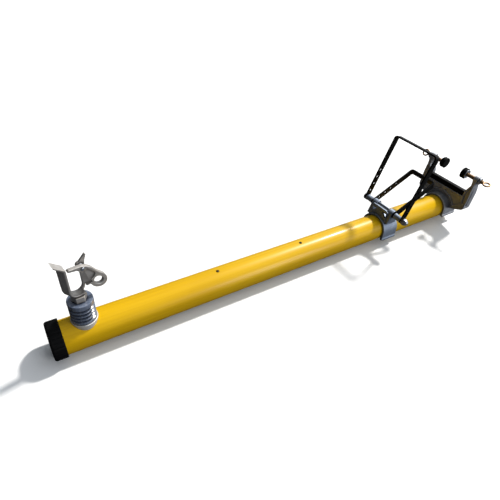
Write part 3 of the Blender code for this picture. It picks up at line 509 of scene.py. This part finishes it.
LOOKS = {
    "yellow": gelcoat(),
    "rubber": rubber("black_rubber_look"),
    "pad_rubber": rubber("pad_rubber_look", 0.8),
    "glaze": glaze(),
    # Each casting's last colour is its painted corner shade. The collar's blue and the bracket's faint blue are
    # painted sky reflection on grey aluminium.
    "fork": casting("fork", (0.35, 0.325, 0.300), (0.46, 0.44, 0.42), (0.030, 0.020, 0.012)),
    "collar": casting("collar", (0.17, 0.21, 0.28), (0.27, 0.31, 0.38), (0.010, 0.016, 0.034)),
    "bracket": casting("bracket", (0.30, 0.315, 0.355), (0.44, 0.445, 0.46), (0.014, 0.020, 0.036)),
    "seat": casting("seat", (0.52, 0.51, 0.50), (0.66, 0.65, 0.64), (0.16, 0.15, 0.15)),
    "zinc": zinc("zinc_plate_look"),
    "dark_zinc": zinc("dull_plate_look", (0.30, 0.32, 0.36), 0.42),
    "black": black_paint(),
    "bronze": bronze(),
    "rivet": zinc("dark_rivet_look", (0.050, 0.040, 0.022), 0.45),
    "foam": foam(),
    "plug": grey_plastic(),
}


def finish(made, node, look):
    """A new piece stands for a CAD node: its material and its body."""
    made.data.materials.clear()
    made.data.materials.append(LOOKS[look])
    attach(made, BODY[node])
    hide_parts(node)


def repaint(node, look):
    """A CAD node that stays gets a better material."""
    made = frame["nodes"][node]
    for place in made.material_slots:
        place.material = LOOKS[look]


# ---------------------------------------------------------------- pole
POLE_LOW, POLE_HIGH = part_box("pole_tube")
POLE_R = half("pole_tube", 1)
BORE_R = half("foam_core", 1) + 0.3 * MM


def build_pole():
    """The pole's shell, its two blind rivets and what sits inside it."""
    outside = [(BORE_R, POLE_HIGH.x), (POLE_R, POLE_HIGH.x), (POLE_R, POLE_LOW.x), (BORE_R, POLE_LOW.x)]
    profile = softened(outside, 0.9 * MM, 3, closed=True)
    finish(lathe("pole_shell", profile, along_x(), FINE, ring=True), "pole_tube", "yellow")
    end_plug("cap_end_plug")
    end_plug("bracket_end_plug")
    repaint("foam_core", "foam")
    for number in (1, 2):
        blind_rivet(f"pole_rivet_{number}", "rivet")


def end_plug(node):
    """A moulded plug in the pole's end, with a shallow ring sunk in its face."""
    low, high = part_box(node)
    radius = half(node, 1)
    sunk = high.x - 0.8 * MM
    face = [(0, high.x), (radius * 0.30, high.x), (radius * 0.34, sunk), (radius * 0.80, sunk)]
    edge = [(radius * 0.84, high.x), (radius, high.x), (radius, low.x), (0, low.x)]
    finish(lathe(f"{node}_disc", softened(face + edge, 0.6 * MM, 3), along_x(), FINE), node, "plug")


RIVET_SHANK_R = 2.9 * MM


def blind_rivet(node, look):
    """A blind rivet, or a small screw with a head like one: a dimpled dome and its shank."""
    low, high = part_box(node)
    spot = middle(node)
    head = half(node, 0)
    height = high.z - low.z
    brim = height_of_head(node)
    profile = [
        (0, height - 0.5 * MM), (head * 0.26, height - 0.45 * MM), (head * 0.32, height - 0.1 * MM),
        (head * 0.45, height), (head * 0.78, height - brim * 0.35), (head * 0.97, height - brim * 0.80),
        (head, height - brim), (RIVET_SHANK_R, height - brim), (RIVET_SHANK_R, 0), (0, 0),
    ]
    made = lathe(f"{node}_domed", softened(profile, 0.3 * MM, 2), along_z(spot.x, spot.y, low.z), MEDIUM)
    finish(made, node, look)


def height_of_head(node):
    """How far a rivet's head stands above its seat: the part of the mesh wider than its shank."""
    spot = middle(node)
    past_shank = RIVET_SHANK_R + 0.3 * MM
    wide = [v.co.z for v in frame["nodes"][node].data.vertices if abs(v.co.x - spot.x) > past_shank]
    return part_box(node)[1].z - min(wide)


CAP_RIBS = 24


def build_cap():
    """The moulded rubber cap: soft grip ribs round its side and a notched lip."""
    length = half("end_cap", 0) * 2
    radius = half("end_cap", 1)
    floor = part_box("pole_tube")[0].x - 0.3 * MM
    bore = POLE_R + 0.2 * MM
    inside = [(0, floor), (bore, floor), (bore, length)]
    lip = [(bore + 0.7 * MM, length), (radius - 0.9 * MM, length), (radius - 0.2 * MM, length - 0.8 * MM)]
    heights = (length - 2.2 * MM, length - 6 * MM, length * 0.5, 5.5 * MM)
    side = [(radius, height) for height in heights]
    corner = [
        (radius - 0.4 * MM, 3.2 * MM), (radius - 1.5 * MM, 1.2 * MM), (radius - 3.0 * MM, 0.25 * MM),
        (radius - 4.4 * MM, 0),
    ]
    dish = 0.5 * MM
    face = [(radius * 0.55, 0), (radius * 0.50, dish), (radius * 0.16, dish), (radius * 0.12, 0), (0, 0)]
    notched = range(len(inside), len(inside + lip))
    deep = range(len(inside + lip), len(inside + lip + side) + 1)
    shallow = (deep.start - 1, deep.stop)

    def shape(row, angle, r, z):
        """Grip grooves down the side and small notches in the lip."""
        phase = (angle * CAP_RIBS / (2 * math.pi)) % 1.0
        groove = math.exp(-((phase - 0.5) / 0.13) ** 2)
        if row in deep:
            r -= 1.1 * MM * groove
        if row in shallow:
            r -= 0.55 * MM * groove
        if row in notched:
            z -= 1.3 * MM * math.exp(-((phase - 0.5) / 0.11) ** 6)
        return r, z

    profile = inside + lip + side + corner + face
    cap = lathe("end_cap_moulding", profile, along_x(), CAP_RIBS * 12, shape=shape)
    finish(smooth(cap, 45.0), "end_cap", "rubber")


# ---------------------------------------------------------------- insulator
def build_insulator():
    """The saddle seat, the shedded insulator, its hexagonal boss and the stud hardware."""
    finish(cast("insulator_seat_casting", "insulator_seat", 0.5 * MM, 4, 0.5), "insulator_seat", "seat")
    low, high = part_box("insulator_body")
    spot = middle("insulator_body")
    radius = half("insulator_body", 0)
    bore = half("insulator_stud", 0) + 0.4 * MM
    grooves, groove_depth = 4, 7.6 * MM
    top_band, bottom_band = 11.0 * MM, 3.2 * MM
    pitch = (high.z - low.z - top_band - bottom_band) / grooves
    root = radius - groove_depth
    profile = [(bore, high.z), (radius - 0.4 * MM, high.z), (radius, high.z - 1.2 * MM)]
    for i in range(grooves):
        z = high.z - top_band - i * pitch
        profile += [(radius, z), (radius - 1.0 * MM, z - 0.7 * MM)]
        profile += [(root, z - 3.0 * MM), (root, z - 4.4 * MM)]
        profile += [(radius - 0.5 * MM, z - pitch + 1.9 * MM), (radius, z - pitch + 1.3 * MM)]
    profile += [(radius, low.z + 1.0 * MM), (radius - 1.0 * MM, low.z), (bore, low.z)]
    outline = softened(profile, 0.9 * MM, 4, closed=True)
    body = lathe("insulator_sheds", outline, along_z(spot.x, spot.y), FINE, ring=True)
    finish(body, "insulator_body", "glaze")
    finish(cast("hex_boss_casting", "hex_boss", 0.4 * MM, 2, 0.5), "hex_boss", "fork")
    for node in ("insulator_stud", "stud_backing_washer", "stud_lock_washer", "stud_nut", "fork_set_screw"):
        repaint(node, "zinc")


# ---------------------------------------------------------------- fork and keeper
# The rounded rib on the keeper's back edge: its ends from the keeper's pivot, in the fork's plane, and the
# depth of its centre line below the keeper's front face.
RIB_START, RIB_END = (6.5 * MM, 2.0 * MM), (31.5 * MM, -29.5 * MM)
RIB_R, RIB_DEPTH = 3.2 * MM, 3.0 * MM


def fork_plane():
    """A frame on the fork's middle plane: local X across it, local Y up, local Z along its width."""
    toward = Vector(JOINT["keeper_pivot"]["axis"])
    centre = Vector(JOINT["fork_swivel"]["pos_m"])
    return axes((centre.x, centre.y, 0), Vector((0, 0, 1)).cross(toward), (0, 0, 1))


def build_fork():
    """The fork casting, its keeper with a rounded back rib, the keeper's pin and its spring."""
    fork = cast("conductor_fork_casting", "conductor_fork", 0.4 * MM, 6, 0.35)
    finish(fork, "conductor_fork", "fork")
    plane = fork_plane()
    pivot = plane.inverted() @ Vector(JOINT["keeper_pivot"]["pos_m"])
    front = front_and_back("keeper_lever", plane)[1]
    start = (pivot.x + RIB_START[0], pivot.y + RIB_START[1])
    end = (pivot.x + RIB_END[0], pivot.y + RIB_END[1])
    rib = rounded_bar("keeper_back_rib", plane, start, end, RIB_R, front - RIB_DEPTH)
    made = cast("keeper_lever_casting", "keeper_lever", 0.45 * MM, 5, 0.5, joined=[rib])
    finish(made, "keeper_lever", "fork")
    repaint("keeper_spring", "zinc")
    build_keeper_pin(plane)


def build_keeper_pin(plane):
    """The keeper's pin: a low head at the front, a riveted one at the back."""
    low, high = front_and_back("keeper_pin", plane)
    at = plane @ Matrix.Translation(local_middle("keeper_pin", plane))
    end = (high - low) / 2
    head, shank = 4.0 * MM, 3.0 * MM
    front, back = end - 1.7 * MM, 2.0 * MM - end
    profile = [
        (0, end), (head * 0.55, end), (head * 0.85, end - 0.4 * MM), (head, end - 1.2 * MM), (head, front),
        (shank, front), (shank, back), (head, back), (head, 0.6 * MM - end), (head * 0.8, -end), (0, -end),
    ]
    finish(lathe("keeper_pin_turned", softened(profile, 0.25 * MM, 2), at, MEDIUM), "keeper_pin", "zinc")


def front_and_back(node, plane):
    """A node's extent along a frame's local Z."""
    inside = plane.inverted()
    depths = [(inside @ v.co).z for v in frame["nodes"][node].data.vertices]
    return min(depths), max(depths)


def local_middle(node, plane):
    """The centre of a node's box in a frame's own axes."""
    inside = plane.inverted()
    spots = [inside @ v.co for v in frame["nodes"][node].data.vertices]
    return Vector([(min(s[i] for s in spots) + max(s[i] for s in spots)) / 2 for i in range(3)])


def rounded_bar(name, plane, first, last, radius, depth):
    """A round bar between two points of a frame, at a depth along its local Z."""
    start = plane @ Vector((first[0], first[1], depth))
    end = plane @ Vector((last[0], last[1], depth))
    along = end - start
    side = along.orthogonal().normalized()
    matrix = axes(start, side, along.normalized().cross(side))
    length = along.length
    profile = [(0, length)] + arc((0, length - radius), radius, 75, 0, 4)
    profile += arc((0, radius), radius, 0, -75, 4) + [(0, 0)]
    return lathe(name, profile, matrix, 24)


# ---------------------------------------------------------------- bail collar
BAIL_AXIS = Vector(JOINT["large_bail_swing"]["pos_m"])
BOLT_R = 6.2 * MM
BOLT_HOLE_R = BOLT_R + 0.3 * MM


def build_collar():
    """The collar casting and its rivets, and the bolt, nut, washers and spacers that carry the bails."""
    finish(cast("bail_collar_casting", "bail_collar", 0.8 * MM, 3, 0.45), "bail_collar", "collar")
    for tag in ("front", "rear"):
        blind_rivet(f"collar_rivet_{tag}", "zinc")
    build_bolt()
    finish(cast("dome_nut_formed", "dome_nut", 0.35 * MM, 3, 0.5), "dome_nut", "zinc")
    for tag in ("near", "far"):
        washer(f"bail_washer_{tag}")
        spacer(f"bail_spacer_{tag}")


def build_bolt():
    """The bolt that the bails swing on, with a round head on the far side."""
    low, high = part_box("bail_bolt")
    head = half("bail_bolt", 0)
    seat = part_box("bail_washer_far")[1].y + 0.3 * MM
    profile = [
        (0, high.y), (head * 0.30, high.y - 0.1 * MM), (head * 0.62, high.y - 0.9 * MM),
        (head * 0.90, high.y - 2.4 * MM), (head, high.y - 3.6 * MM), (head, seat), (BOLT_R, seat),
        (BOLT_R, low.y + 1.0 * MM), (BOLT_R - 1.0 * MM, low.y), (0, low.y),
    ]
    at = along_y(BAIL_AXIS.x, 0, BAIL_AXIS.z)
    bolt = lathe("bail_bolt_turned", softened(profile, 0.4 * MM, 3), at, MEDIUM)
    finish(bolt, "bail_bolt", "dark_zinc")


def washer(node):
    """A plain washer on the bail bolt with soft edges."""
    low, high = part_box(node)
    outer = half(node, 0)
    profile = [(outer, high.y), (outer, low.y), (BOLT_HOLE_R, low.y), (BOLT_HOLE_R, high.y)]
    at = along_y(BAIL_AXIS.x, 0, BAIL_AXIS.z)
    made = lathe(f"{node}_pressed", softened(profile, 0.3 * MM, 3, closed=True), at, MEDIUM, ring=True)
    finish(made, node, "zinc")


def spacer(node):
    """A turned spacer with a raised collar at each end."""
    low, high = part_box(node)
    outer = half(node, 0)
    waist, lip, slope = outer - 0.8 * MM, 3.2 * MM, 0.8 * MM
    profile = [
        (outer, high.y), (outer, high.y - lip), (waist, high.y - lip - slope), (waist, low.y + lip + slope),
        (outer, low.y + lip), (outer, low.y), (BOLT_HOLE_R, low.y), (BOLT_HOLE_R, high.y),
    ]
    at = along_y(BAIL_AXIS.x, 0, BAIL_AXIS.z)
    made = lathe(f"{node}_turned", softened(profile, 0.5 * MM, 3, closed=True), at, MEDIUM, ring=True)
    # The spacers take the collar's look, with its painted blue sky reflection.
    finish(made, node, "collar")


# ---------------------------------------------------------------- bails
HOLE_PITCH, HOLE_R, HOLES = 23 * MM, 4.6 * MM, 4
STRAP, STRAP_WIDTH, STRAP_BEND = 4.5 * MM, 19 * MM, 9 * MM
BAIL_BORE_R = 6.6 * MM


def build_bail(node):
    """A bail bent from flat strap, with round ends, soft edges and a row of drilled holes."""
    vertices = [v.co - BAIL_AXIS for v in frame["nodes"][node].data.vertices]
    far = max(vertices, key=lambda v: v.x * v.x + v.z * v.z)
    reach = math.hypot(far.x, far.z)
    bar = [v for v in vertices if math.hypot(v.x, v.z) > reach - 6 * MM]
    lean = math.atan2(sum(v.x for v in bar), sum(v.z for v in bar))
    length = max(v.x * math.sin(lean) + v.z * math.cos(lean) for v in vertices)
    outer = half(node, 1)
    inner = outer - STRAP
    end = STRAP_WIDTH / 2
    corner = (outer - STRAP_BEND, length - STRAP_BEND)
    side = [(inner, -end), (outer, -end)] + arc(corner, STRAP_BEND, 0, 90, 12)
    inside = arc(corner, STRAP_BEND - STRAP, 90, 0, 10)
    outline = side + [(-y, z) for y, z in reversed(side)]
    outline += [(-y, z) for y, z in reversed(inside)] + inside
    hinge = Matrix.Translation(BAIL_AXIS) @ Matrix.Rotation(lean, 4, "Y")
    made = slab(f"{node}_strap", outline, hinge @ along_x(), STRAP_WIDTH, -end, 0.6 * MM)
    wide = outer + 10 * MM
    flat = hinge @ axes((0, wide, 0), (1, 0, 0), (0, 0, 1))
    past, under = end + 3 * MM, -end - 4 * MM
    scrap = [(past, 0.0), (past, under), (-past, under), (-past, 0.0)] + arc((0, 0), end, 180, 360, 24)
    tools = [slab(f"{node}_ends", scrap, flat, 2 * wide)]
    tools.append(round_tool(f"{node}_bore", BAIL_BORE_R, wide, hinge @ along_y()))
    for number in range(1, HOLES + 1):
        at = hinge @ along_y(0, 0, number * HOLE_PITCH)
        tools.append(round_tool(f"{node}_hole_{number}", HOLE_R, wide, at))
    combine(made, "DIFFERENCE", *tools)
    finish(smooth(made, 30.0), node, "black")


def round_tool(name, radius, reach, matrix):
    """A plain cylinder for drilling right through."""
    profile = [(0, reach), (radius, reach), (radius, -reach), (0, -reach)]
    return lathe(name, profile, matrix, 32)


# ---------------------------------------------------------------- crossarm bracket and clamps
CLAMP_AXIS = Vector(JOINT["near_clamp_turn"]["pos_m"])
SCREW_CREST, THREAD_DEPTH, THREAD_PITCH = 6.2 * MM, 0.95 * MM, 3.175 * MM
SCREW_HOLE_R = SCREW_CREST + 0.3 * MM
EYE_ROLL = {"far": math.radians(115.0), "near": math.radians(9.0)}
EYE_MAJOR, EYE_MINOR = 9.6 * MM, 2.5 * MM


def build_bracket():
    """The bracket casting and its two screws."""
    bracket = cast("crossarm_bracket_casting", "crossarm_bracket", 0.9 * MM, 3, 0.40)
    finish(bracket, "crossarm_bracket", "bracket")
    for tag in ("front", "rear"):
        blind_rivet(f"bracket_screw_{tag}", "zinc")


def build_seat():
    """The seat block: a moulded rubber bar with soft edges and shallow grip grooves along its front."""
    low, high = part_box("seat_pad")
    a, b = half("seat_pad", 0), half("seat_pad", 2)
    groove, mouth = 0.7 * MM, 1.2 * MM
    outline = [(-a, -b), (a, -b), (a, b), (-a, b)]
    for share in (0.45, 0.0, -0.45):
        z = b * share
        outline += [(-a, z + mouth), (-a + groove, z), (-a, z - mouth)]
    section = softened(outline, 1.3 * MM, 4, closed=True)
    at = axes(((low.x + high.x) / 2, high.y, (low.z + high.z) / 2), (1, 0, 0), (0, 0, 1))
    made = slab("seat_pad_moulding", section, at, high.y - low.y, edge=0.8 * MM)
    finish(made, "seat_pad", "pad_rubber")


def build_clamp(tag, side):
    """One clamp: its eye screw, swivel pad, pad cup and lock nut. Local Z runs outward along the screw."""
    at = along_y(CLAMP_AXIS.x, 0, CLAMP_AXIS.z, side)
    eye_screw(tag, side, at)
    swivel_pad(f"swivel_pad_{tag}", side, at)
    pad_cup(f"pad_cup_{tag}", side, at)
    hex_nut(f"lock_nut_{tag}", side, at)


def eye_screw(tag, side, at):
    """A threaded rod with a short neck and a ring to turn it by."""
    low, high = reach_of(f"eye_screw_{tag}", side)
    centre = high - EYE_MAJOR - EYE_MINOR
    inner = centre - EYE_MAJOR
    screw = threaded_rod(f"eye_screw_{tag}_threaded", low, inner - 3.5 * MM, at)
    neck = [
        (0, inner + 1.0 * MM), (EYE_MINOR * 0.9, inner + 0.8 * MM), (EYE_MINOR * 1.25, inner - 1.0 * MM),
        (4.6 * MM, inner - 3.0 * MM), (5.1 * MM, inner - 4.2 * MM), (0, inner - 4.4 * MM),
    ]
    roll = EYE_ROLL[tag]
    ring = [(EYE_MAJOR + EYE_MINOR * x, EYE_MINOR * y) for x, y in reversed(circle((0, 0), 1, 16))]
    ring_at = at @ axes((0, 0, centre), (0, 0, 1), (math.cos(roll), math.sin(roll), 0))
    combine(screw, "UNION", lathe("neck", softened(neck, 0.6 * MM, 3), at, 32),
            lathe("ring", ring, ring_at, MEDIUM, ring=True))
    finish(smooth(screw, 40.0), f"eye_screw_{tag}", "bronze")


def swivel_pad(node, side, at):
    """A round rubber pad with a groove round its waist and a socket for the screw's end."""
    low, high = reach_of(node, side)
    rim = half(node, 0)
    waist, floor = rim - 2.6 * MM, low + 5 * MM
    flange, slope, edge = (high - low) * 0.32, 0.9 * MM, 1.2 * MM
    profile = [
        (0, floor), (SCREW_HOLE_R, floor), (SCREW_HOLE_R, high), (rim - edge, high), (rim, high - edge),
        (rim, high - flange), (waist, high - flange - slope), (waist, low + flange + slope),
        (rim, low + flange), (rim, low + edge), (rim - edge, low), (0, low),
    ]
    pad = lathe(f"{node}_moulding", softened(profile, 0.7 * MM, 4), at, 64)
    finish(pad, node, "pad_rubber")


def pad_cup(node, side, at):
    """The pressed steel cup on a pad's back."""
    low, high = reach_of(node, side)
    rim, thick = half(node, 0), 1.4 * MM
    profile = [
        (rim - 0.5 * MM, high), (rim, high - 1.2 * MM), (rim - 2.4 * MM, low), (SCREW_HOLE_R, low),
        (SCREW_HOLE_R, low + thick), (rim - 3.4 * MM, low + thick),
    ]
    made = lathe(f"{node}_pressed", softened(profile, 0.35 * MM, 3, closed=True), at, 64, ring=True)
    finish(made, node, "zinc")


def reach_of(node, side):
    """A node's nearest and furthest distance from the pole's middle plane, on its own side."""
    low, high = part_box(node)
    return sorted((low.y * side, high.y * side))


def threaded_rod(name, low, high, matrix):
    """A rod with a helical thread, tapering to its root at the tip."""
    steps = 8
    count = int((high - low) / THREAD_PITCH * steps)
    profile = [(0, high)]
    profile += [(SCREW_CREST, high - (high - low) * i / count) for i in range(count + 1)]
    profile.append((0, low))

    def shape(row, angle, radius, height):
        """The thread's rounded trapezoid, phased with the angle."""
        phase = (height / THREAD_PITCH - angle / (2 * math.pi)) % 1.0
        wave = min(1.0, max(0.0, 2.6 * abs(phase - 0.5) - 0.15))
        ends = min(1.0, (height - low) / THREAD_PITCH, (high - height) / THREAD_PITCH + 0.3)
        return radius - THREAD_DEPTH * (1 - (1 - wave) * ends), height

    return lathe(name, profile, matrix, 40, shape=shape)


def hex_nut(node, side, at):
    """A hexagonal nut with chamfered corners and a countersunk bore."""
    low, high = reach_of(node, side)
    corner = half(node, 0)
    face = corner * math.cos(math.radians(30)) * 0.96
    past = corner * 1.01
    made = slab(f"{node}_formed", circle((0, 0), corner, 6), at, high - low, low)
    slope = (corner - face) * math.tan(math.radians(28))
    cone = [(0, high), (face, high), (past, high - slope), (past, low + slope), (face, low), (0, low)]
    combine(made, "INTERSECT", lathe("cone", cone, at, MEDIUM))
    mouth = SCREW_HOLE_R + 1.8 * MM
    drill = [
        (0, high + MM), (mouth, high + MM), (SCREW_HOLE_R, high - 0.8 * MM), (SCREW_HOLE_R, low + 0.8 * MM),
        (mouth, low - MM), (0, low - MM),
    ]
    combine(made, "DIFFERENCE", lathe("drill", drill, at, MEDIUM))
    finish(smooth(made), node, "zinc")


# ---------------------------------------------------------------- studio
FLOOR_REACH, FLOOR_DROP = 12.0, 0.2 * MM
KEY_DIRECTION, FILL_DIRECTION = (-2.45, -0.55, -2.85), (-1.3, 2.4, -0.9)
BRIGHT_SIDE = Vector((0.88, -0.10, 0.46))
VIEW_RIGHT, VIEW_FORWARD = (0.84738, -0.52384, 0.08684), (0.45159, 0.62492, -0.63682)
CAMERA_PLACE, LENS_MM, SENSOR_MM = (0.02671, -0.62764, 0.71252), 29.166, 36.0


def far_light(name, direction, angle, strength, colour):
    """A distant light shining along a direction; a wider angle gives softer shadows."""
    lamp = bpy.data.lights.new(name, "SUN")
    lamp.angle = math.radians(angle)
    lamp.energy = strength
    lamp.color = colour
    made = add(name, lamp)
    made.rotation_euler = Vector(direction).to_track_quat("-Z", "Y").to_euler()


def build_studio():
    """A pale floor just under the object, a key from beyond the bracket and a soft fill."""
    floor_z = CAD_BOX[0][2] - FLOOR_DROP
    signs = ((-1, -1), (1, -1), (1, 1), (-1, 1))
    corners = [(x * FLOOR_REACH, y * FLOOR_REACH, floor_z) for x, y in signs]
    mesh = bpy.data.meshes.new("studio_floor")
    mesh.from_pydata(corners, [], [(0, 1, 2, 3)])
    mesh.materials.append(pale_floor())
    add("studio_floor", mesh)
    far_light("key", KEY_DIRECTION, 5.0, 4.2, (1.0, 0.97, 0.92))
    far_light("fill", FILL_DIRECTION, 25.0, 1.1, (0.97, 0.98, 1.0))
    build_sky()
    bpy.context.scene.view_settings.view_transform = "Standard"


def build_sky():
    """A pale sky to the camera, whose light on the object is brightest from beyond the bracket."""
    world = bpy.data.worlds.new("studio_world")
    world.use_nodes = True
    nodes, links = world.node_tree.nodes, world.node_tree.links
    place = nodes.new("ShaderNodeTexCoord")
    side = nodes.new("ShaderNodeVectorMath")
    side.operation = "DOT_PRODUCT"
    side.inputs[1].default_value = BRIGHT_SIDE
    links.new(place.outputs["Generated"], side.inputs[0])
    dim = nodes.new("ShaderNodeMapRange")
    for name, number in (("From Min", -0.05), ("From Max", 0.95), ("To Min", 0.03), ("To Max", 1.15)):
        dim.inputs[name].default_value = number
    links.new(side.outputs["Value"], dim.inputs["Value"])
    seen = nodes.new("ShaderNodeMix")
    seen.inputs[3].default_value = 0.95
    links.new(nodes.new("ShaderNodeLightPath").outputs["Is Camera Ray"], seen.inputs[0])
    links.new(dim.outputs["Result"], seen.inputs[2])
    glow = nodes["Background"]
    glow.inputs["Color"].default_value = (0.88, 0.94, 1.0, 1.0)
    links.new(seen.outputs[0], glow.inputs["Strength"])
    bpy.context.scene.world = world


def build_camera():
    """The camera at the photograph's viewing angle."""
    forward = Vector(VIEW_FORWARD).normalized()
    up = Vector(VIEW_RIGHT).normalized().cross(forward)
    turn = Matrix((forward.cross(up), up, -forward)).transposed().to_4x4()
    lens = bpy.data.cameras.new("photo_camera")
    lens.lens = LENS_MM
    lens.sensor_width = SENSOR_MM
    lens.clip_start = 0.01
    made = add("photo_camera", lens)
    made.matrix_world = Matrix.Translation(CAMERA_PLACE) @ turn
    bpy.context.scene.camera = made


build_pole()
build_cap()
build_insulator()
build_fork()
build_collar()
build_bail("large_bail")
build_bail("small_bail")
build_bracket()
build_seat()
build_clamp("far", 1)
build_clamp("near", -1)
build_studio()
build_camera()
